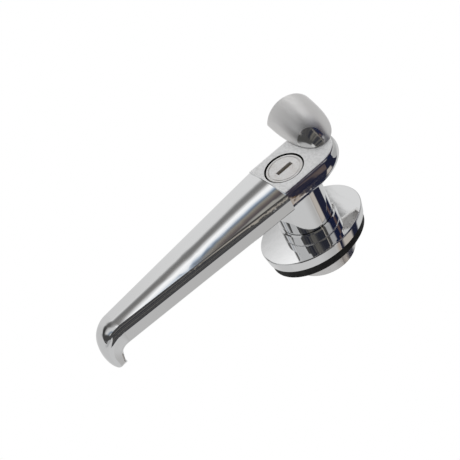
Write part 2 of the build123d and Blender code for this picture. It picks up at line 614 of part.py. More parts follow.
def cam_point(share):
    """Point of the cam's flank that touches the bolt's head at a share of the key's turn."""
    turn = radians(KEY_TURN * share)
    reach = CAM_LOW_RADIUS + CAM_LEAD * turn
    return (reach * cos(turn) - CAM_LEAD * sin(turn), -reach * sin(turn) - CAM_LEAD * cos(turn))


with BuildPart() as plug_cam:
    with BuildSketch(level(CAM_TOP - AXIAL_GAP / 2)):
        Circle(CAM_LOW_RADIUS)
        with BuildLine():
            flank = Spline([cam_point(step / (CAM_POINTS - 1)) for step in range(CAM_POINTS)])
            Polyline(flank @ 1, (-CAM_LEAD - 0.9, -3.6), (0, 0), (CAM_LOW_RADIUS, 0), flank @ 0)
        make_face()
        Rectangle(TAIL_SQUARE + RUNNING_GAP, TAIL_SQUARE + RUNNING_GAP, mode=Mode.SUBTRACT)
    extrude(amount=-(CAM_THICK - AXIAL_GAP))
export_piece(plug_cam, "plug_cam")

with BuildPart() as plug_cam_clip:
    with BuildSketch(level(CAM_BOTTOM)):
        Circle(TAIL_CLIP_RADIUS)
        Circle(TAIL_GROOVE_RADIUS + RUNNING_GAP, mode=Mode.SUBTRACT)
        with Locations((-TAIL_CLIP_RADIUS, 0)):
            Rectangle(TAIL_CLIP_RADIUS, 2, mode=Mode.SUBTRACT)
    extrude(amount=-TAIL_CLIP_THICK)
export_piece(plug_cam_clip, "plug_cam_clip")

# Locking bolt and its return spring
with BuildPart() as locking_bolt:
    with BuildSketch(side_plane(BOLT_HEIGHT, BOLT_HEAD_FACE)):
        Circle(BOLT_HEAD_RADIUS)
    extrude(amount=BOLT_HEAD_THICK)
    with BuildSketch(side_plane(BOLT_HEIGHT, SPRING_START)):
        Circle(BOLT_RADIUS)
    extrude(amount=BOLT_TIP - SPRING_START)
    chamfer(locking_bolt.faces().sort_by(Axis.X)[-1].edges(), BOLT_TIP_EDGE)
export_piece(locking_bolt, "locking_bolt")

SPRING_LENGTH = BOLT_SHELF - SPRING_START - 2 * SPRING_WIRE_RADIUS - 2 * AXIAL_GAP
SPRING_PITCH = SPRING_LENGTH / SPRING_TURNS
SPRING_FOOT = (SPRING_START + SPRING_WIRE_RADIUS + AXIAL_GAP, -BOLT_HEIGHT, 0)
with BuildPart() as bolt_spring:
    with BuildLine():
        coil = Helix(SPRING_PITCH, SPRING_LENGTH, SPRING_MEAN_RADIUS, center=SPRING_FOOT, direction=(1, 0, 0))
    with BuildSketch(Plane(origin=coil @ 0, z_dir=coil % 0)):
        Circle(SPRING_WIRE_RADIUS)
    sweep(is_frenet=True)
export_piece(bolt_spring, "bolt_spring")

# Dust cap: a turned dome cut off level with its rim, drawn in the swung open place. Its axis runs along
# the cap and lies below the rim, and its origin is the foot of the pivot on that axis.
CAP_CUT = STEP_DISTANCE + PIVOT_DISTANCE - CAP_END_GAP
CAP_LENGTH = CAP_CUT + CAP_BEYOND_PIVOT
OPEN_TURN = radians(CAP_OPEN_ANGLE)
CAP_SIDE = Vector(cos(OPEN_TURN), 0, -sin(OPEN_TURN))
CAP_ALONG = Vector(sin(OPEN_TURN), 0, cos(OPEN_TURN))
CAP_ROOM = 2 * (CAP_LENGTH + CAP_TURNED_RADIUS)


def cap_plane(height):
    """Plane at a height with its origin on the pivot and its Y along the open cap, away from the flat end."""
    return Plane(origin=(PIVOT_SIDE, -height, PIVOT_DISTANCE), x_dir=CAP_SIDE, z_dir=(0, -1, 0))


def dome_solid(start, radius, length):
    """Turned form from a start beyond the cap's flat end, with its full radius at the flat end."""
    foot = Vector(PIVOT_SIDE, CAP_AXIS_SINK - CAP_RIM, PIVOT_DISTANCE) - CAP_SIDE * PIVOT_SIDE
    plane = Plane(origin=foot - CAP_ALONG * CAP_CUT, x_dir=CAP_ALONG, z_dir=CAP_SIDE)
    power = 2 / CAP_SQUARENESS
    quarter = [radians(90 * step / (CAP_PROFILE_POINTS - 1)) for step in range(CAP_PROFILE_POINTS)]
    with BuildPart(mode=Mode.PRIVATE) as dome:
        with BuildSketch(plane):
            with BuildLine():
                Spline([(length * sin(turn)**power, radius * abs(cos(turn))**power) for turn in quarter],
                       tangents=((1, 0), (0, -1)))
                Polyline((length, 0), (0, 0), (0, radius))
            make_face()
            with Locations((start + length / 2, 0)):
                Rectangle(length, 3 * radius, mode=Mode.INTERSECT)
        revolve(axis=Axis(plane.origin, plane.x_dir))
        with BuildSketch(level(CAP_RIM)):
            Rectangle(4 * CAP_ROOM, 4 * CAP_ROOM)
        extrude(amount=CAP_ROOM, mode=Mode.INTERSECT)
    return dome.part


dome_outside = dome_solid(0, CAP_TURNED_RADIUS, CAP_LENGTH)
dome_inside = dome_solid(CAP_WALL, CAP_TURNED_RADIUS - CAP_WALL, CAP_LENGTH - CAP_WALL)
with BuildPart() as dust_cap:
    add(dome_outside)
    add(dome_inside, mode=Mode.SUBTRACT)
    with BuildSketch(cap_plane(CAP_RIM)):
        Circle(CAP_BOSS_RADIUS)
    extrude(amount=CAP_TURNED_RADIUS - CAP_AXIS_SINK)
    add(dome_outside, mode=Mode.INTERSECT)
    with BuildSketch(cap_plane(CAP_RIM)):
        Circle(PIN_RADIUS + BARREL_FIT)
    extrude(amount=PIN_IN_BOSS, mode=Mode.SUBTRACT)
export_piece(dust_cap, "dust_cap")

# Pivot pin of the dust cap, its spring washer and its retaining ring in the well under the head
RING_TOP = WELL_TOP - AXIAL_GAP - CAP_WASHER_THICK
with BuildPart() as cap_pivot_pin:
    with BuildSketch(cap_plane(CAP_RIM + PIN_IN_BOSS - AXIAL_GAP)):
        Circle(PIN_RADIUS)
    extrude(amount=-(CAP_RIM + PIN_IN_BOSS - AXIAL_GAP - HEAD_BOTTOM - 0.3))
    chamfer(cap_pivot_pin.faces().sort_by(Axis.Y)[-1].edges(), 0.25)
    with BuildSketch(cap_plane(RING_TOP)):
        Circle(PIN_RADIUS + 1)
        Circle(CAP_RING_GROOVE_RADIUS, mode=Mode.SUBTRACT)
    extrude(amount=-CAP_RING_THICK / 2, mode=Mode.SUBTRACT)
export_piece(cap_pivot_pin, "cap_pivot_pin")

with BuildPart() as cap_spring_washer:
    with BuildSketch(cap_plane(WELL_TOP - AXIAL_GAP)):
        Circle(CAP_WASHER_RADIUS)
        Circle(PIN_RADIUS + RUNNING_GAP, mode=Mode.SUBTRACT)
    extrude(amount=-CAP_WASHER_THICK)
export_piece(cap_spring_washer, "cap_spring_washer")

with BuildPart() as cap_retaining_ring:
    with BuildSketch(cap_plane(RING_TOP)):
        Circle(CAP_WASHER_RADIUS)
        Circle(CAP_RING_GROOVE_RADIUS + RUNNING_GAP, mode=Mode.SUBTRACT)
        with Locations((0, CAP_WASHER_RADIUS)):
            Rectangle(CAP_RING_OPENING, CAP_WASHER_RADIUS, mode=Mode.SUBTRACT)
    extrude(amount=-CAP_RING_THICK / 2)
export_piece(cap_retaining_ring, "cap_retaining_ring")
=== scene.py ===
# %% [markdown]
# A lever handle lock in bright chrome. It is bolted to a door by an oval escutcheon with a rubber gasket
# behind it. A stem carries the lever, a key barrel sits in the lever's head, and a small domed cap that
# keeps rain out of the keyway is swung open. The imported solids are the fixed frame. The castings already
# have their true shapes, so they stay as they are, and this lesson gives them their finishes, winds their
# springs and builds the studio that the chrome mirrors.

# %% Load the frame
import math
import bmesh
import bpy
from mathutils import Matrix, Vector


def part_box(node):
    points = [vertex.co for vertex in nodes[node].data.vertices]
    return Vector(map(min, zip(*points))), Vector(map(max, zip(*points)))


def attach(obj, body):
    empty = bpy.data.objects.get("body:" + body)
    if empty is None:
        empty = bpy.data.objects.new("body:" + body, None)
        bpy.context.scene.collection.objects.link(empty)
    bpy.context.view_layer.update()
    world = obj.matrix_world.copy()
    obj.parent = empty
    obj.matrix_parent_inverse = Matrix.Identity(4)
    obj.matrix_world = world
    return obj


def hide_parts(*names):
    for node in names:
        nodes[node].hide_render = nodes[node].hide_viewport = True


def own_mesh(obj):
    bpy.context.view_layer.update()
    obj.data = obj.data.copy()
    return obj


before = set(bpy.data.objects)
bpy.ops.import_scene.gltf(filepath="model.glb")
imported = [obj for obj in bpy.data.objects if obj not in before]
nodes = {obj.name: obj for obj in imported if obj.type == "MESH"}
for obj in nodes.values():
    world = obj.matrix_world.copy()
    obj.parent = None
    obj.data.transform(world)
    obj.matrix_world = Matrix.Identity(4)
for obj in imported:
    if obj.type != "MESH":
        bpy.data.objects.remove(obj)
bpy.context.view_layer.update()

# %% [markdown]
# The camera comes first, because every reflection in the chrome depends on where one looks from. Its place
# and its three axes were recovered from the round and oval edges of the lock, so they are written as
# numbers here. Looking from a little below the head is what shows the stem under it.

# %% Camera
EYE = Vector((0.4488789, -0.4385733, -0.1906257))
RIGHT = Vector((0.5736194, 0.3603452, 0.7356032))
UP = Vector((-0.3830357, -0.6758035, 0.6297407))
BACK = Vector((0.7240472, -0.6429938, -0.2496289))
LENS = 110.758
camera_data = bpy.data.cameras.new("photo_camera")
camera_data.lens = LENS
camera_data.sensor_width = 36.0
camera_data.clip_start = 0.01
camera = bpy.data.objects.new("photo_camera", camera_data)
camera.matrix_world = Matrix((
    (RIGHT.x, UP.x, BACK.x, EYE.x),
    (RIGHT.y, UP.y, BACK.y, EYE.y),
    (RIGHT.z, UP.z, BACK.z, EYE.z),
    (0, 0, 0, 1),
))
bpy.context.scene.collection.objects.link(camera)
bpy.context.scene.camera = camera
bpy.context.scene.view_settings.view_transform = "Standard"
print("camera stands", round(EYE.length, 3), "m from the lock")


# %% [markdown]
# Materials and the studio are both node trees. Wiring nodes one by one is long to write and hard to read,
# so a small class holds the few calls that are needed again and again: a sum, a soft step, a noise, a
# mix of two colours. A number is set on the socket and another node's output is linked to it.

# %% Helpers for node trees
DEGREES = 57.29578  # in one radian


class Wiring:
    """Short calls for the nodes of the light tent, the finishes and the springs."""

    def __init__(self, tree):
        self.tree = tree
        self.tree.nodes.clear()

    def add(self, kind, **settings):
        node = self.tree.nodes.new(kind)
        for key, value in settings.items():
            setattr(node, key, value)
        return node

    def link(self, source, target):
        self.tree.links.new(source, target)

    def feed(self, socket, value):
        if isinstance(value, bpy.types.NodeSocket):
            self.link(value, socket)
        else:
            socket.default_value = value

    def math(self, operation, first, second=0.0, third=0.0):
        node = self.add("ShaderNodeMath", operation=operation)
        for socket, value in zip(node.inputs, (first, second, third)):
            self.feed(socket, value)
        return node.outputs[0]

    def ease(self, share, first, second):
        node = self.add("ShaderNodeMix")
        for socket, value in zip((node.inputs[0], node.inputs[2], node.inputs[3]), (share, first, second)):
            self.feed(socket, value)
        return node.outputs[0]

    def split(self, vector):
        node = self.add("ShaderNodeSeparateXYZ")
        self.link(vector, node.inputs[0])
        return node.outputs

    def span(self, value, low, high, out_low=0.0, out_high=1.0, smooth=True):
        node = self.add("ShaderNodeMapRange", interpolation_type="SMOOTHSTEP" if smooth else "LINEAR")
        for socket, item in zip(node.inputs, (value, low, high, out_low, out_high)):
            self.feed(socket, item)
        return node.outputs[0]

    def band(self, value, low, high, soft):
        rise = self.span(value, low - soft, low + soft)
        return self.math("SUBTRACT", rise, self.span(value, high - soft, high + soft))

    def noise(self, place, scale, detail=2.0, stretch=None, rough=0.5):
        node = self.add("ShaderNodeTexNoise")
        node.inputs["Scale"].default_value = scale
        node.inputs["Detail"].default_value = detail
        node.inputs["Roughness"].default_value = rough
        if stretch:
            mapping = self.add("ShaderNodeMapping")
            mapping.inputs["Scale"].default_value = stretch
            self.link(place, mapping.inputs["Vector"])
            place = mapping.outputs["Vector"]
        self.link(place, node.inputs["Vector"])
        return node.outputs["Fac"]

    def blend(self, share, first, second):
        node = self.add("ShaderNodeMix", data_type="RGBA")
        self.feed(node.inputs[0], share)
        self.feed(node.inputs[6], first)
        self.feed(node.inputs[7], second)
        return node.outputs[2]

    def radius(self, first, second):
        squares = self.math("ADD", self.math("POWER", first, 2.0), self.math("POWER", second, 2.0))
        return self.math("SQRT", squares)

    def directions(self, vector):
        """Azimuth and height in degrees of a unit direction."""
        x, y, z = self.split(vector)
        azimuth = self.math("ARCTAN2", x, self.math("MULTIPLY", y, -1.0))
        height = self.math("ARCSINE", z)
        return self.math("MULTIPLY", azimuth, DEGREES), self.math("MULTIPLY", height, DEGREES)


def grey(level, warm=0.0):
    """A grey of the given level, a little warmer or cooler."""
    return (level * (1 + warm), level, level * (1 - warm), 1.0)


# %% [markdown]
# Chrome has no colour of its own: all one sees is the room. In a workshop it would be photographed in a
# tent of white cloth, with the dark room showing through the opening where the camera stands. It could be
# built from cards and lamps, but a card that is seen in a mirror of every curvature is hard to place, so
# the tent is painted on the world by direction. The azimuth is measured from the front towards the right
# and the height above the horizon, both in degrees. The camera sees plain white, dull surfaces are lit by
# an even pale sky, and only mirrors see the tent.

# %% Light tent, directions
world = bpy.data.worlds.new("light_tent")
world.use_nodes = True
bpy.context.scene.world = world
tent = Wiring(world.node_tree)
ray = tent.add("ShaderNodeTexCoord").outputs["Generated"]
azimuth, height = tent.directions(ray)
print("directions take", len(world.node_tree.nodes), "nodes")


def tent_window(left, right, low, high, soft_side=2.0, soft_height=2.0):
    """Share of a patch of the tent between two azimuths and two heights."""
    return tent.math("MULTIPLY", tent.band(azimuth, left, right, soft_side),
                     tent.band(height, low, high, soft_height))


# %% [markdown]
# The cloth is a mottled pale grey that changes with the height and gets a few plainer panels and walls.
# Each patch is laid softly over what is there, so their order counts: first the shades that follow the
# height, then the panels.

# %% Light tent, cloth
folds = tent.noise(ray, 3.0, 2.0)
cloth = tent.blend(folds, grey(0.66), grey(0.80))
side_cloth = tent.blend(tent.span(height, -12.0, 14.0), grey(0.58), grey(0.44, 0.015))
# where the cloth starts to change with height, where it is wholly changed, tone
CLOTH_SHADES = (
    (12.0, 4.0, grey(0.62)),
    (34.0, 52.0, grey(0.46)),
    (-15.0, -30.0, grey(0.56)),
)
# left, right, low and high border, softness to the sides, softness up and down, tone
CLOTH_PATCHES = {
    "back wall": ((-200, -128, 17, 62, 4, 2), grey(0.58)),
    "bright panel on the left": ((-126, -74, 15.5, 24, 6, 1.5), grey(1.0)),
    "wall on the door's side": ((112, 200, -70, 15.5, 6, 2), side_cloth),
    "roof over the door": ((100, 200, 52, 90, 6, 5), grey(0.40)),
}
for start, end, tone in CLOTH_SHADES:
    cloth = tent.blend(tent.span(height, start, end), cloth, tone)
for place, tone in CLOTH_PATCHES.values():
    cloth = tent.blend(tent_window(*place), cloth, tone)
print("cloth of the tent:", len(CLOTH_SHADES), "shades,", ", ".join(CLOTH_PATCHES))

# %% [markdown]
# The long bright line and the dark bands beside it on the arm are the folded edge of the cloth at the
# opening. The arm is crowned, so each place across it mirrors another azimuth, and what reads as a stripe
# is a row of tones by azimuth. A colour ramp holds that row. The edge isn't upright: it leans, and further
# down it widens, so the ramp reads a share of the distance from a bent line and not the azimuth itself.

# %% Light tent, folded edge of the opening
def below(limit):
    """Degrees by which a direction lies below a height, 0 above it."""
    return tent.math("MAXIMUM", tent.math("SUBTRACT", limit, height), 0.0)


leaning_right = tent.math("MULTIPLY_ADD", below(13.5), 0.75, -50.3)
leaning_left = tent.math("MULTIPLY_ADD", below(6.0), -0.22, -44.7)
leaning_left = tent.math("MULTIPLY_ADD", below(-12.0), -0.35, leaning_left)
beyond_edge = tent.math("SUBTRACT", azimuth, tent.math("MINIMUM", leaning_right, leaning_left))
distance_share = tent.math("MULTIPLY", tent.span(height, 9.0, 12.5, 0.8, 1.0),
                           tent.span(height, 5.5, 8.5, 0.625, 1.0))
inner_side = tent.math("MULTIPLY", tent.math("MAXIMUM", beyond_edge, 0.0), distance_share)
edge_place = tent.math("ADD", tent.math("MINIMUM", beyond_edge, 0.0), inner_side)
# degrees beyond the bent line, tone
EDGE_TONES = (
    (-5.0, grey(0.70)), (-3.2, grey(0.70)), (-2.0, grey(0.34)), (-1.0, grey(0.19)), (1.0, grey(0.18, 0.02)),
    (2.2, grey(0.25, 0.02)), (3.3, grey(0.60)), (5.0, grey(1.06)), (6.8, grey(0.92, -0.02)),
    (8.0, (0.45, 0.52, 0.61, 1.0)), (9.0, (0.15, 0.19, 0.25, 1.0)), (10.5, (0.26, 0.24, 0.20, 1.0)),
    (12.0, (0.14, 0.12, 0.115, 1.0)), (13.4, (0.085, 0.075, 0.08, 1.0)), (14.6, (0.40, 0.39, 0.36, 1.0)),
    (17.0, (0.30, 0.29, 0.28, 1.0)),
)
EDGE_START = EDGE_TONES[0][0]
EDGE_WIDTH = EDGE_TONES[-1][0] - EDGE_START
edge_ramp = tent.add("ShaderNodeValToRGB")
for tone in EDGE_TONES[2:]:
    edge_ramp.color_ramp.elements.new(0.5)
for element, (place, tone) in zip(edge_ramp.color_ramp.elements, EDGE_TONES):
    element.position = (place - EDGE_START) / EDGE_WIDTH
for element, (place, tone) in zip(edge_ramp.color_ramp.elements, EDGE_TONES):
    element.color = tone
tent.link(tent.math("DIVIDE", tent.math("SUBTRACT", edge_place, EDGE_START), EDGE_WIDTH), edge_ramp.inputs[0])
edge_tone = tent.add("ShaderNodeMix", data_type="RGBA", blend_type="MULTIPLY")
tent.link(tent.span(height, 3.0, -8.0), edge_tone.inputs[0])
tent.link(edge_ramp.outputs[0], edge_tone.inputs[6])
edge_tone.inputs[7].default_value = grey(0.60)
edge_share = tent.math("MULTIPLY", tent.band(beyond_edge, -4.2, 17.5, 0.6), tent.band(height, -50, 16.6, 1.0))
cloth = tent.blend(edge_share, cloth, edge_tone.outputs[2])
fold_depth = tent.math("MULTIPLY", tent.band(beyond_edge, -2.5, 4.5, 1.5), tent.span(height, -10.0, -30.0))
cloth = tent.blend(fold_depth, cloth, grey(0.04))
print(len(EDGE_TONES), "tones along the folded edge, over", EDGE_WIDTH, "degrees")

# %% [markdown]
# Beyond the opening lies the room: dark, with a few plain things in it that the chrome shows as lines and
# spots, such as a bar, a shelf and a table. A crowned mirror makes all of them small, so soft patches are
# enough. A noise along the azimuth alone streaks the lower part, and a wide noise mottles the upper one.

# %% Light tent, dark room beyond the opening
room_mottle = tent.noise(ray, 2.2, 1.0)
room_lines = tent.add("ShaderNodeTexNoise", noise_dimensions="1D")
tent.link(azimuth, room_lines.inputs["W"])
room_lines.inputs["Scale"].default_value = 0.11
room_lines.inputs["Detail"].default_value = 3.0
low_room = tent.blend(tent.span(room_lines.outputs["Fac"], 0.40, 0.74),
                      (0.020, 0.022, 0.032, 1.0), (0.19, 0.18, 0.155, 1.0))
high_room = tent.blend(tent.span(room_mottle, 0.55, 0.66),
                       (0.010, 0.014, 0.040, 1.0), (0.11, 0.075, 0.07, 1.0))
ROOM_PATCHES = {
    "room below": ((-31, 119, -50, 10, 3, 2.5), low_room),
    "shadow under the stand": ((-70, 20, -64, -37, 5, 4), grey(0.06)),
    "table": ((-110, 50, -90, -62, 8, 3), grey(0.42, -0.01)),
    "dark bar": ((-33, 60, 9.0, 15.0, 4, 0.5), grey(0.06, 0.03)),
    "warm shelf": ((-6, 60, 7.2, 9.4, 5, 0.4), (0.36, 0.33, 0.29, 1.0)),
    "room above": ((-24, 124, 14.6, 56, 3, 0.5), high_room),
    "window in the room": ((34, 60, 19, 33, 3, 3), grey(0.40)),
    "thin seam over the edge": ((-75, -30, 16.8, 18.35, 5, 0.2), grey(0.17)),
}
for place, tone in ROOM_PATCHES.values():
    cloth = tent.blend(tent_window(*place), cloth, tone)
print("beyond the opening:", ", ".join(ROOM_PATCHES))

# %% [markdown]
# The right side of the head is nearly flat and mirrors a small part of the room on the door's side, so a
# degree of height there is many millimetres on the metal. That is why the patches on that side have very
# sharp borders. The borders also rise a little to the right, which the metal shows as slanting lines.

# %% Light tent, door side
risen_height = tent.math("MULTIPLY_ADD", tent.math("SUBTRACT", azimuth, 100.0), -0.012, height)


def door_window(left, right, low, high, soft_side=3.0, soft_height=0.05):
    """Share of a patch whose lower and upper borders rise a little to the right."""
    return tent.math("MULTIPLY", tent.band(azimuth, left, right, soft_side),
                     tent.band(risen_height, low, high, soft_height))


beige_wall = tent.blend(tent.span(height, 12.0, 17.0), grey(0.48, 0.02), (0.38, 0.32, 0.27, 1.0))
navy_room = tent.blend(door_window(98, 120, 18.3, 19.6, 5, 0.15),
                       (0.014, 0.016, 0.034, 1.0), (0.11, 0.085, 0.08, 1.0))
DOOR_PATCHES = {
    "beige wall": (door_window(112, 186, 11, 17.0, 5, 0.8), beige_wall),
    "ochre line": (door_window(102, 152, 16.9, 17.15, 5), (0.17, 0.105, 0.05, 1.0)),
    "navy room": (door_window(92, 179, 17.1, 52.5), navy_room),
    "light panel": (tent_window(131, 166, 21.5, 33, 2, 2), (0.48, 0.44, 0.40, 1.0)),
}
for share, tone in DOOR_PATCHES.values():
    cloth = tent.blend(share, cloth, tone)
print("on the door's side:", ", ".join(DOOR_PATCHES))

# %% Light tent, what each kind of ray sees
path = tent.add("ShaderNodeLightPath")
plain_sight = tent.math("MAXIMUM", path.outputs["Is Camera Ray"], path.outputs["Is Transmission Ray"])
seen = tent.blend(plain_sight, grey(0.80), grey(1.0))
seen = tent.blend(path.outputs["Is Glossy Ray"], seen, cloth)
background = tent.add("ShaderNodeBackground")
tent.link(seen, background.inputs["Color"])
background.inputs["Strength"].default_value = 1.0
tent.link(background.outputs[0], tent.add("ShaderNodeOutputWorld").inputs["Surface"])
print("light tent has", len(world.node_tree.nodes), "nodes")

# %% [markdown]
# A handle of this kind sits on a door, well above the ground, so the floor lies below the camera and only
# takes a soft shadow. Near the lock it is matt and pale. Further out it turns into the white of the
# background for the camera's own rays, so no horizon cuts through a view from the side.

# %% Floor
FLOOR_HEIGHT = -0.26
FLOOR_REACH = 3.0
FADE_START, FADE_END = 0.12, 0.75
floor_mesh = bpy.data.meshes.new("floor")
floor_shape = bmesh.new()
bmesh.ops.create_circle(floor_shape, cap_ends=True, segments=64, radius=FLOOR_REACH)
bmesh.ops.translate(floor_shape, verts=floor_shape.verts, vec=(0, 0, FLOOR_HEIGHT))
floor_shape.to_mesh(floor_mesh)
floor_shape.free()
floor = bpy.data.objects.new("floor", floor_mesh)
bpy.context.scene.collection.objects.link(floor)
floor.visible_glossy = False

floor_paint = bpy.data.materials.new("floor_paint")
floor_paint.use_nodes = True
paint = Wiring(floor_paint.node_tree)
floor_place = paint.add("ShaderNodeTexCoord").outputs["Object"]
floor_x, floor_y, _ = paint.split(floor_place)
matt = paint.add("ShaderNodeBsdfPrincipled")
matt.inputs["Roughness"].default_value = 0.9
mottled = paint.blend(paint.noise(floor_place, 30.0, 3.0), grey(0.80), grey(0.83))
paint.link(mottled, matt.inputs["Base Color"])
white = paint.add("ShaderNodeEmission")
white.inputs["Strength"].default_value = 1.0
far = paint.span(paint.radius(floor_x, floor_y), FADE_START, FADE_END)
fade = paint.math("MULTIPLY", far, paint.add("ShaderNodeLightPath").outputs["Is Camera Ray"])
floor_mix = paint.add("ShaderNodeMixShader")
paint.link(fade, floor_mix.inputs[0])
paint.link(matt.outputs[0], floor_mix.inputs[1])
paint.link(white.outputs[0], floor_mix.inputs[2])
paint.link(floor_mix.outputs[0], paint.add("ShaderNodeOutputMaterial").inputs["Surface"])
floor_mesh.materials.append(floor_paint)


# %% [markdown]
# Two soft lamps stand outside the tent. They give the dull parts, the rubber and the inside of the cap,
# a bright side and a darker side. Mirrors don't see them, because the tent is what they see.

# %% Lamps
def soft_lamp(name, place, size, power):
    lamp = bpy.data.lights.new(name, "AREA")
    lamp.size = size
    lamp.energy = power
    lamp_object = bpy.data.objects.new(name, lamp)
    lamp_object.location = place
    lamp_object.rotation_euler = (-Vector(place)).to_track_quat("-Z", "Y").to_euler()
    lamp_object.visible_glossy = False
    bpy.context.scene.collection.objects.link(lamp_object)
    print(name, power, "W, size", size, "m")


soft_lamp("lamp_upper_left", (-0.7, -0.9, 1.0), 0.8, 4.0)
soft_lamp("lamp_upper_right", (0.9, -0.5, 0.7), 0.8, 2.0)


# %% [markdown]
# Each finish is a new material around one glossy shader. It reads Object coordinates, which are the real
# metres of the part, so a grain of half a millimetre is drawn half a millimetre wide on every piece and
# stays on the metal when the lever turns.

# %% Helpers for finishes
class Finish(Wiring):
    """A node material around one Principled shader."""

    def __init__(self, name, color, metallic=0.0, roughness=0.5):
        self.material = bpy.data.materials.new(name)
        self.material.use_nodes = True
        super().__init__(self.material.node_tree)
        self.surface = self.add("ShaderNodeBsdfPrincipled")
        self.link(self.surface.outputs["BSDF"], self.add("ShaderNodeOutputMaterial").inputs["Surface"])
        coordinates = self.add("ShaderNodeTexCoord")
        self.place = coordinates.outputs["Object"]
        self.facing = coordinates.outputs["Normal"]
        self.set(color=color, metallic=metallic, roughness=roughness)

    def set(self, **values):
        names = {"color": "Base Color", "metallic": "Metallic", "roughness": "Roughness", "normal": "Normal"}
        for key, value in values.items():
            self.feed(self.surface.inputs[names[key]], value)

    def grain(self, scale, detail=2.0, stretch=None, rough=0.5):
        return self.noise(self.place, scale, detail, stretch, rough)

    def bump(self, relief, depth, strength=1.0, normal=None):
        node = self.add("ShaderNodeBump")
        node.inputs["Distance"].default_value = depth
        self.feed(node.inputs["Strength"], strength)
        self.link(relief, node.inputs["Height"])
        if normal:
            self.link(normal, node.inputs["Normal"])
        return node.outputs["Normal"]

    def wiping(self, stretch):
        """Roughness of polished metal with hair-thin wiping marks."""
        return self.span(self.grain(420.0, 4.0, stretch), 0.35, 0.75, 0.03, 0.07)

    def waviness(self):
        """Normal of polished metal that isn't quite even."""
        return self.bump(self.grain(85.0, 1.0), 0.00012, 0.05)


def dress(finish, *names):
    """Give a finish to solids of the frame."""
    for name in names:
        slots = nodes[name].data.materials
        slots.clear()
        slots.append(finish.material)
    print(finish.material.name, "on", ", ".join(names))


# %% [markdown]
# Bright chrome is a mirror with a very faint waviness and hair-thin wiping marks from polishing by hand.
# Both are far too small to model: the waviness is a low, wide bump, and the marks change the roughness.
# The dust cap is a thin turned shell, and its dome has the soft satin of a brushing wheel, which blurs the
# tent into one pale gradient. Only the dome's end over the pivot, its knuckle, is polished so far that it
# mirrors the room. It could be two materials, but then the border would follow the faces of the mesh, so
# one material changes its roughness with the distance from the middle of the knuckle.

# %% Satin chrome of the dust cap
KNUCKLE = Vector((-0.0005, -0.0480, 0.0175))
KNUCKLE_REACH = 0.0064
KNUCKLE_SOFT = 0.0003
cap_chrome = Finish("cap_chrome", grey(0.97, 0.01), 1.0, 0.33)
from_knuckle = cap_chrome.add("ShaderNodeVectorMath", operation="DISTANCE")
cap_chrome.link(cap_chrome.place, from_knuckle.inputs[0])
from_knuckle.inputs[1].default_value = KNUCKLE
on_dome = cap_chrome.span(from_knuckle.outputs["Value"],
                          KNUCKLE_REACH - KNUCKLE_SOFT, KNUCKLE_REACH + KNUCKLE_SOFT)
brushed = cap_chrome.span(cap_chrome.grain(900.0, 3.0, (0.15, 1.0, 1.0)), 0.3, 0.7, 0.34, 0.41)
cap_chrome.set(color=cap_chrome.blend(cap_chrome.grain(60.0, 2.0), grey(0.93, 0.01), grey(1.0, 0.01)))
cap_chrome.set(roughness=cap_chrome.ease(on_dome, 0.13, brushed))
cap_chrome.set(normal=cap_chrome.waviness())
dress(cap_chrome, "dust_cap")

# %% [markdown]
# On the lever three places differ from the mirror. The flat land around the barrel is left with the fine
# frosted grain of the mould under the plating, which looks whitish. The bore that the barrel sits in is
# painted nearly black, a painted shade for the deep narrow gap, so it shows as a dark ring. The arm and
# the sides are polished. The places are picked by their level along the stem, their radius from the
# barrel's axis and the way the surface faces. The limits are metres of the part, as in the finishes that
# follow.

# %% Chrome of the lever
LAND_LEVEL = -0.04690
LAND_FACING = -0.93
LAND_END = -0.01025
BORE_RADIUS = 0.00936
BORE_FLOOR = -0.020
lever_chrome = Finish("lever_chrome", grey(0.90, -0.004), 1.0, 0.05)
x, y, z = lever_chrome.split(lever_chrome.place)
_, facing_y, _ = lever_chrome.split(lever_chrome.facing)
on_land = lever_chrome.math("MULTIPLY", lever_chrome.math("LESS_THAN", y, LAND_LEVEL),
                            lever_chrome.math("LESS_THAN", facing_y, LAND_FACING))
on_land = lever_chrome.math("MULTIPLY", on_land, lever_chrome.math("GREATER_THAN", z, LAND_END))
# Painted shade in the bore: inside the bore's radius the colour is nearly black, standing in for the shade in
# the gap.
bore_painted_shade = lever_chrome.math("MULTIPLY",
                            lever_chrome.math("LESS_THAN", lever_chrome.radius(x, z), BORE_RADIUS),
                            lever_chrome.math("LESS_THAN", y, BORE_FLOOR))
frost = lever_chrome.grain(2100.0, 2.0, rough=0.6)
pits = lever_chrome.grain(900.0, 3.0)
land_color = lever_chrome.blend(lever_chrome.span(pits, 0.35, 0.65), grey(0.86), grey(0.97))
metal = lever_chrome.blend(on_land, grey(0.90, -0.004), land_color)
lever_chrome.set(color=lever_chrome.blend(bore_painted_shade, metal, grey(0.015)))
lever_chrome.set(roughness=lever_chrome.ease(on_land, lever_chrome.wiping((1.0, 1.0, 0.12)), 0.36))
lever_chrome.set(metallic=lever_chrome.ease(on_land, 1.0, 0.75))
frost_depth = lever_chrome.math("MULTIPLY", on_land, 0.9)
lever_chrome.set(normal=lever_chrome.bump(frost, 0.00012, frost_depth, lever_chrome.waviness()))
dress(lever_chrome, "lever")

# %% [markdown]
# The escutcheon is polished on its front and rim. The round boss behind the gasket goes into the door, so
# nobody polishes it: it keeps the duller plated skin of the casting. One material holds both, and turns
# from one to the other where the part passes through the gasket. A polishing wheel can't reach into the
# corner between collar and flange, so a thin soft fillet is left there that shows as a light line.

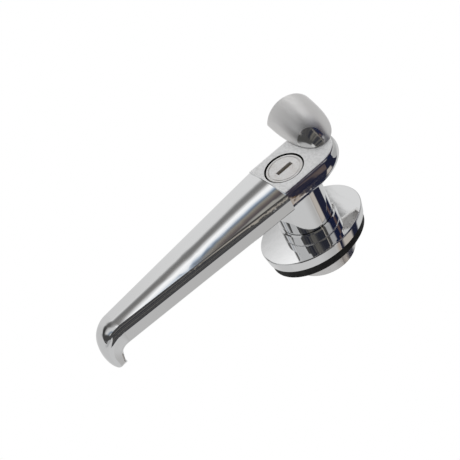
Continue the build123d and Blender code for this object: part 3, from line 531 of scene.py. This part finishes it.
# %% Chrome of the escutcheon
GASKET_BAND = (-0.0032, -0.0028)
FLANGE_LEVEL = -0.0107
FOOT_HEIGHT = 0.00055
COLLAR_RADIUS = 0.0137
escutcheon_chrome = Finish("escutcheon_chrome", grey(0.90), 1.0, 0.05)
x, y, z = escutcheon_chrome.split(escutcheon_chrome.place)
behind = escutcheon_chrome.span(y, *GASKET_BAND)
cast_skin = escutcheon_chrome.blend(escutcheon_chrome.grain(260.0, 3.0), grey(0.74, 0.01), grey(0.86, 0.02))
escutcheon_chrome.set(color=escutcheon_chrome.blend(behind, grey(0.90, -0.004), cast_skin))
collar_foot = escutcheon_chrome.math(
    "MULTIPLY", escutcheon_chrome.span(y, FLANGE_LEVEL - FOOT_HEIGHT, FLANGE_LEVEL, smooth=False),
    escutcheon_chrome.math("LESS_THAN", escutcheon_chrome.radius(x, z), COLLAR_RADIUS))
in_foot = escutcheon_chrome.math("GREATER_THAN", collar_foot, 0.01)
skin = escutcheon_chrome.ease(behind, escutcheon_chrome.wiping((0.12, 1.0, 1.0)), 0.24)
escutcheon_chrome.set(roughness=escutcheon_chrome.ease(in_foot, skin, 0.30))
uneven = escutcheon_chrome.bump(escutcheon_chrome.grain(300.0, 3.0), 0.0001,
                                escutcheon_chrome.math("MULTIPLY_ADD", behind, 0.35, 0.03))
escutcheon_chrome.set(normal=escutcheon_chrome.bump(collar_foot, 0.0005, in_foot, uneven))
dress(escutcheon_chrome, "escutcheon")

# %% [markdown]
# The barrel's face is turned and then brushed flat, which gives warm satin nickel with very fine rings
# and a few stains. Rings about the barrel's axis are drawn from the distance to it. The housing's outer
# wall behind the face is painted nearly black, a painted shade for the gap around the barrel. The slot for
# the key is a narrow deep hole, and the plug's colour turns a darker brown deeper inside it, a painted
# shade of the hole.

# %% Nickel of the barrel
SLEEVE_RADIUS = 0.00857
BEHIND_FACE = -0.0466
SLOT_HALF_WIDTH = 0.0013
SLOT_SHADE_END = -0.0440


def satin_nickel(name):
    finish = Finish(name, grey(0.90, 0.02), 0.85, 0.3)
    x, y, z = finish.split(finish.place)
    rings = finish.add("ShaderNodeTexNoise", noise_dimensions="1D")
    finish.link(finish.radius(x, z), rings.inputs["W"])
    rings.inputs["Scale"].default_value = 9000.0
    rings.inputs["Detail"].default_value = 3.0
    stains = finish.span(finish.grain(330.0, 4.0), 0.42, 0.68)
    finish.set(roughness=finish.span(rings.outputs["Fac"], 0.3, 0.7, 0.26, 0.38))
    finish.set(normal=finish.bump(rings.outputs["Fac"], 0.00002, 0.25))
    finish.shade = finish.blend(stains, grey(0.96, 0.012), grey(0.86, 0.03))
    finish.set(color=finish.shade)
    return finish, x, y, z


housing_nickel, x, y, z = satin_nickel("housing_nickel")
# The outer wall of the housing behind its face is painted nearly black: painted shade in the gap between
# barrel and bore.
wall = housing_nickel.math("MULTIPLY",
                           housing_nickel.math("GREATER_THAN", housing_nickel.radius(x, z), SLEEVE_RADIUS),
                           housing_nickel.math("GREATER_THAN", y, BEHIND_FACE))
housing_nickel.set(color=housing_nickel.blend(wall, housing_nickel.shade, grey(0.03)))
dress(housing_nickel, "barrel_housing")

plug_nickel, x, y, z = satin_nickel("plug_nickel")
# Painted shade in the key slot: the colour turns a darker brown from the face inwards.
across = plug_nickel.math("LESS_THAN", plug_nickel.math("ABSOLUTE", x), SLOT_HALF_WIDTH)
slot_painted_shade = plug_nickel.math("MULTIPLY", across, plug_nickel.span(y, BEHIND_FACE, SLOT_SHADE_END))
slot_shade_brown = plug_nickel.blend(plug_nickel.grain(600.0, 2.0),
                               (0.78, 0.70, 0.58, 1.0), (0.90, 0.82, 0.70, 1.0))
plug_nickel.set(color=plug_nickel.blend(slot_painted_shade, plug_nickel.shade, slot_shade_brown))
dress(plug_nickel, "key_plug")

# %% [markdown]
# The gasket and the stem's seal ring are black rubber. Moulded rubber isn't pure black: it has a dusty
# bloom, a faint grain from the mould and a dull sheen along its edges.

# %% Rubber
rubber = Finish("moulded_rubber", grey(0.006), 0.0, 0.6)
rubber.surface.inputs["Specular IOR Level"].default_value = 0.28
bloom = rubber.span(rubber.grain(190.0, 4.0), 0.40, 0.75)
rubber.set(color=rubber.blend(bloom, grey(0.003), grey(0.010, 0.02)))
rubber.set(roughness=rubber.span(rubber.grain(700.0, 3.0), 0.3, 0.7, 0.50, 0.66))
rubber.set(normal=rubber.bump(rubber.grain(2600.0, 2.0), 0.00004, 0.5))
dress(rubber, "panel_gasket", "stem_o_ring")

# %% [markdown]
# The small steel pieces are stamped or turned and then zinc plated, which gives a bluish white with cloudy
# patches and a faint yellow tint. Springs and clips are bare drawn wire or strip, darker and smoother.
# Wafers are stamped from brass sheet and keep the fine rolling lines of the sheet.

# %% Zinc, spring steel and brass
zinc = Finish("zinc_plate", grey(0.6), 1.0, 0.3)
clouds = zinc.span(zinc.grain(240.0, 4.0), 0.35, 0.70)
zinc.set(color=zinc.blend(clouds, (0.62, 0.65, 0.69, 1.0), (0.74, 0.73, 0.66, 1.0)))
zinc.set(roughness=zinc.span(zinc.grain(900.0, 3.0), 0.3, 0.7, 0.24, 0.40))
zinc.set(normal=zinc.bump(zinc.grain(1500.0, 3.0), 0.00003, 0.4))
dress(zinc, "barrel_pin", "stop_plate", "cam_washer", "cam_screw", "cap_pivot_pin", "plug_cam",
      "locking_bolt")

spring_steel = Finish("drawn_steel", grey(0.4), 1.0, 0.28)
oiled = spring_steel.span(spring_steel.grain(500.0, 3.0), 0.35, 0.70)
spring_steel.set(color=spring_steel.blend(oiled, (0.36, 0.36, 0.38, 1.0), (0.50, 0.47, 0.43, 1.0)))
spring_steel.set(roughness=spring_steel.span(spring_steel.grain(2400.0, 2.0), 0.3, 0.7, 0.22, 0.36))
spring_steel.set(normal=spring_steel.bump(spring_steel.grain(3000.0, 2.0), 0.00002, 0.3))
dress(spring_steel, "drive_circlip", "cam_lock_washer", "cap_spring_washer", "cap_retaining_ring",
      "plug_clip", "plug_cam_clip")

brass = Finish("wafer_brass", grey(0.6), 1.0, 0.3)
rolled = brass.grain(1200.0, 3.0, (1.0, 1.0, 0.08))
brass.set(color=brass.blend(rolled, (0.62, 0.45, 0.20, 1.0), (0.80, 0.63, 0.33, 1.0)))
brass.set(roughness=brass.span(rolled, 0.3, 0.7, 0.22, 0.36))
brass.set(normal=brass.bump(rolled, 0.00003, 0.3))
dress(brass, *[f"wafer_{number}" for number in range(1, 6)])


# %% [markdown]
# Springs repeat one rule: a wire follows a helix whose turns lie close at both ends, so that the spring
# stands square. Geometry Nodes do this well, because the helix, its closed ends and the wire are a few
# nodes with named sizes, and one tree winds every spring of the lock. The tree ends in real geometry and
# a material, and the result is kept as a plain mesh.

# %% Helpers for geometry nodes
class Shaping(Wiring):
    """A geometry node tree with named inputs."""

    def __init__(self, name, sizes):
        super().__init__(bpy.data.node_groups.new(name, "GeometryNodeTree"))
        for size, kind in sizes.items():
            self.tree.interface.new_socket(size, in_out="INPUT", socket_type=kind)
        self.tree.interface.new_socket("Material", in_out="INPUT", socket_type="NodeSocketMaterial")
        self.tree.interface.new_socket("Geometry", in_out="OUTPUT", socket_type="NodeSocketGeometry")
        self.sizes = self.add("NodeGroupInput").outputs

    def close(self, geometry):
        """Real geometry with smooth shading and its material."""
        real = self.add("GeometryNodeRealizeInstances")
        self.link(geometry, real.inputs[0])
        smooth = self.add("GeometryNodeSetShadeSmooth")
        self.link(real.outputs[0], smooth.inputs[0])
        painted = self.add("GeometryNodeSetMaterial")
        self.link(smooth.outputs[0], painted.inputs["Geometry"])
        self.link(self.sizes["Material"], painted.inputs["Material"])
        self.link(painted.outputs[0], self.add("NodeGroupOutput").inputs["Geometry"])


SAME_POINT = 0.0000005


def make_piece(name, shaping, finish, values):
    """Evaluate a shaping tree with the given sizes and keep the result as a plain mesh."""
    seed = bpy.data.objects.new(name + "_seed", bpy.data.meshes.new(name + "_seed"))
    bpy.context.scene.collection.objects.link(seed)
    modifier = seed.modifiers.new("shaping", "NODES")
    modifier.node_group = shaping.tree
    for item in shaping.tree.interface.items_tree:
        if item.in_out == "INPUT":
            modifier[item.identifier] = finish.material if item.name == "Material" else values[item.name]
    shaped = seed.evaluated_get(bpy.context.evaluated_depsgraph_get())
    mesh = bpy.data.meshes.new_from_object(shaped)
    seed.modifiers.clear()
    bpy.data.objects.remove(seed)
    mesh.name = name
    shape = bmesh.new()
    shape.from_mesh(mesh)
    bmesh.ops.remove_doubles(shape, verts=shape.verts, dist=SAME_POINT)
    bmesh.ops.recalc_face_normals(shape, faces=shape.faces)
    for face in shape.faces:
        face.material_index = 0
    shape.to_mesh(mesh)
    shape.free()
    mesh.materials.clear()
    mesh.materials.append(finish.material)
    piece = bpy.data.objects.new(name, mesh)
    bpy.context.scene.collection.objects.link(piece)
    print(name, len(mesh.polygons), "faces, material", mesh.materials[0].name)
    return piece


# %% Spring winding
winding = Shaping("spring_winding", {
    "Wire": "NodeSocketFloat", "Radius": "NodeSocketFloat", "Length": "NodeSocketFloat",
    "Turns": "NodeSocketFloat", "Closed share": "NodeSocketFloat", "Closed rise": "NodeSocketFloat",
    "Lay": "NodeSocketVector", "First place": "NodeSocketVector", "Step": "NodeSocketVector",
    "Count": "NodeSocketInt",
})
sizes = winding.sizes
helix = winding.add("GeometryNodeCurveSpiral")
helix.inputs["Resolution"].default_value = 40
winding.link(sizes["Turns"], helix.inputs["Rotations"])
winding.link(sizes["Radius"], helix.inputs["Start Radius"])
winding.link(sizes["Radius"], helix.inputs["End Radius"])
helix.inputs["Height"].default_value = 0.0
share = winding.add("GeometryNodeSplineParameter").outputs["Factor"]
last = winding.math("SUBTRACT", 1.0, sizes["Closed share"])
free_length = winding.math("SUBTRACT", sizes["Length"], winding.math("MULTIPLY", sizes["Closed rise"], 2.0))
rise = winding.math("ADD", winding.span(share, 0.0, sizes["Closed share"], 0.0, sizes["Closed rise"], False),
                    winding.span(share, sizes["Closed share"], last, 0.0, free_length, False))
rise = winding.math("ADD", rise, winding.span(share, last, 1.0, 0.0, sizes["Closed rise"], False))
lift = winding.add("ShaderNodeCombineXYZ")
winding.link(rise, lift.inputs["Z"])
wound = winding.add("GeometryNodeSetPosition")
winding.link(helix.outputs["Curve"], wound.inputs["Geometry"])
winding.link(lift.outputs[0], wound.inputs["Offset"])
section = winding.add("GeometryNodeCurvePrimitiveCircle")
section.inputs["Resolution"].default_value = 10
winding.link(sizes["Wire"], section.inputs["Radius"])
wire = winding.add("GeometryNodeCurveToMesh")
winding.link(wound.outputs[0], wire.inputs["Curve"])
winding.link(section.outputs["Curve"], wire.inputs["Profile Curve"])
wire.inputs["Fill Caps"].default_value = True
row = winding.add("GeometryNodeMeshLine")
winding.link(sizes["Count"], row.inputs["Count"])
winding.link(sizes["First place"], row.inputs["Start Location"])
winding.link(sizes["Step"], row.inputs["Offset"])
springs = winding.add("GeometryNodeInstanceOnPoints")
winding.link(row.outputs[0], springs.inputs["Points"])
winding.link(wire.outputs[0], springs.inputs["Instance"])
winding.link(sizes["Lay"], springs.inputs["Rotation"])
winding.close(springs.outputs[0])
print("spring winding has", len(winding.tree.nodes), "nodes")

# %% [markdown]
# The return spring of the locking bolt lies across the stem, between the bolt's head and a shelf in the
# casting. When the plug turns it pulls the bolt in and the spring is pressed together. Its ends and its
# radius are read from the solid it replaces.

# %% Bolt spring
(low_x, low_y, low_z), (high_x, high_y, high_z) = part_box("bolt_spring")
BOLT_WIRE = 0.00025
bolt_spring = make_piece("bolt_return_spring", winding, spring_steel, {
    "Wire": BOLT_WIRE, "Radius": (high_z - low_z) / 2 - BOLT_WIRE, "Length": high_x - low_x - 2 * BOLT_WIRE,
    "Turns": 6.0, "Closed share": 0.14, "Closed rise": 0.00044, "Lay": (0.0, math.pi / 2, 0.0),
    "First place": (low_x + BOLT_WIRE, (low_y + high_y) / 2, (low_z + high_z) / 2),
    "Step": (0.0, 0.0, 0.0), "Count": 1,
})
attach(bolt_spring, "lever_body")
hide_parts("bolt_spring")
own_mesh(bolt_spring)

# %% [markdown]
# Each of the five wafers in the plug stands on a spring as thin as a hair beside it. They are the same
# spring set out in a row, so the same tree makes all five as one piece of the plug.

# %% Wafer springs
spring_boxes = [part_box(f"wafer_spring_{number}") for number in range(1, 6)]
first_low, first_high = spring_boxes[0]
last_low, _ = spring_boxes[-1]
WAFER_WIRE = 0.00008
wafer_springs = make_piece("wafer_hair_springs", winding, spring_steel, {
    "Wire": WAFER_WIRE, "Radius": (first_high[0] - first_low[0]) / 2 - WAFER_WIRE,
    "Length": first_high[2] - first_low[2] - 2 * WAFER_WIRE, "Turns": 9.0, "Closed share": 0.11,
    "Closed rise": 0.00015, "Lay": (0.0, 0.0, 0.0),
    "First place": ((first_low[0] + first_high[0]) / 2, (first_low[1] + first_high[1]) / 2,
                    first_low[2] + WAFER_WIRE),
    "Step": (0.0, (last_low[1] - first_low[1]) / 4, 0.0), "Count": 5,
})
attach(wafer_springs, "plug_body")
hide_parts(*[f"wafer_spring_{number}" for number in range(1, 6)])

# %% [markdown]
# A wave washer takes up the play between the escutcheon and the stop plate. It is a flat ring of spring
# strip pressed into three gentle waves, so its shape is a circle whose height goes up and down three
# times. That is again a rule, and a strip swept along the waved circle draws it.

# %% Wave washer
waving = Shaping("wave_strip", {"Inner radius": "NodeSocketFloat", "Outer radius": "NodeSocketFloat",
                                "Thickness": "NodeSocketFloat", "Wave height": "NodeSocketFloat",
                                "Waves": "NodeSocketFloat", "Middle": "NodeSocketVector"})
sizes = waving.sizes
circle = waving.add("GeometryNodeCurvePrimitiveCircle")
circle.inputs["Resolution"].default_value = 144
waving.link(waving.math("MULTIPLY", waving.math("ADD", sizes["Inner radius"], sizes["Outer radius"]), 0.5),
            circle.inputs["Radius"])
turn = waving.math("MULTIPLY", waving.add("GeometryNodeSplineParameter").outputs["Factor"], 2 * math.pi)
swing = waving.math("SINE", waving.math("MULTIPLY", turn, sizes["Waves"]))
lift = waving.add("ShaderNodeCombineXYZ")
waving.link(waving.math("MULTIPLY", swing, sizes["Wave height"]), lift.inputs["Z"])
waved = waving.add("GeometryNodeSetPosition")
waving.link(circle.outputs["Curve"], waved.inputs["Geometry"])
waving.link(lift.outputs[0], waved.inputs["Offset"])
upright = waving.add("GeometryNodeSetCurveNormal", mode="Z_UP")
waving.link(waved.outputs[0], upright.inputs["Curve"])
strip = waving.add("GeometryNodeCurvePrimitiveQuadrilateral")
waving.link(waving.math("SUBTRACT", sizes["Outer radius"], sizes["Inner radius"]), strip.inputs["Width"])
waving.link(sizes["Thickness"], strip.inputs["Height"])
swept = waving.add("GeometryNodeCurveToMesh")
waving.link(upright.outputs[0], swept.inputs["Curve"])
waving.link(strip.outputs["Curve"], swept.inputs["Profile Curve"])
placed = waving.add("GeometryNodeTransform")
waving.link(swept.outputs[0], placed.inputs["Geometry"])
placed.inputs["Rotation"].default_value = (math.pi / 2, 0.0, 0.0)
waving.link(sizes["Middle"], placed.inputs["Translation"])
waving.close(placed.outputs[0])

(low_x, low_y, low_z), (high_x, high_y, high_z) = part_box("wave_washer")
STRIP_THICK = 0.0003
RING_INNER = 0.0065
wave_ring = make_piece("wave_ring", waving, spring_steel, {
    "Inner radius": RING_INNER, "Outer radius": high_x, "Thickness": STRIP_THICK,
    "Wave height": (high_y - low_y - STRIP_THICK) / 2, "Waves": 3.0,
    "Middle": (0.0, (low_y + high_y) / 2, 0.0),
})
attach(wave_ring, "lever_body")
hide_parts("wave_washer")

# %% [markdown]
# The three pieces that were made here are measured once more.

# %% Sizes and finish
for piece in (bolt_spring, wafer_springs, wave_ring):
    points = [vertex.co for vertex in piece.data.vertices]
    reach = [[round(1000 * pick(p[i] for p in points), 2) for i in range(3)] for pick in (min, max)]
    print(piece.name, "reaches", reach, "mm")
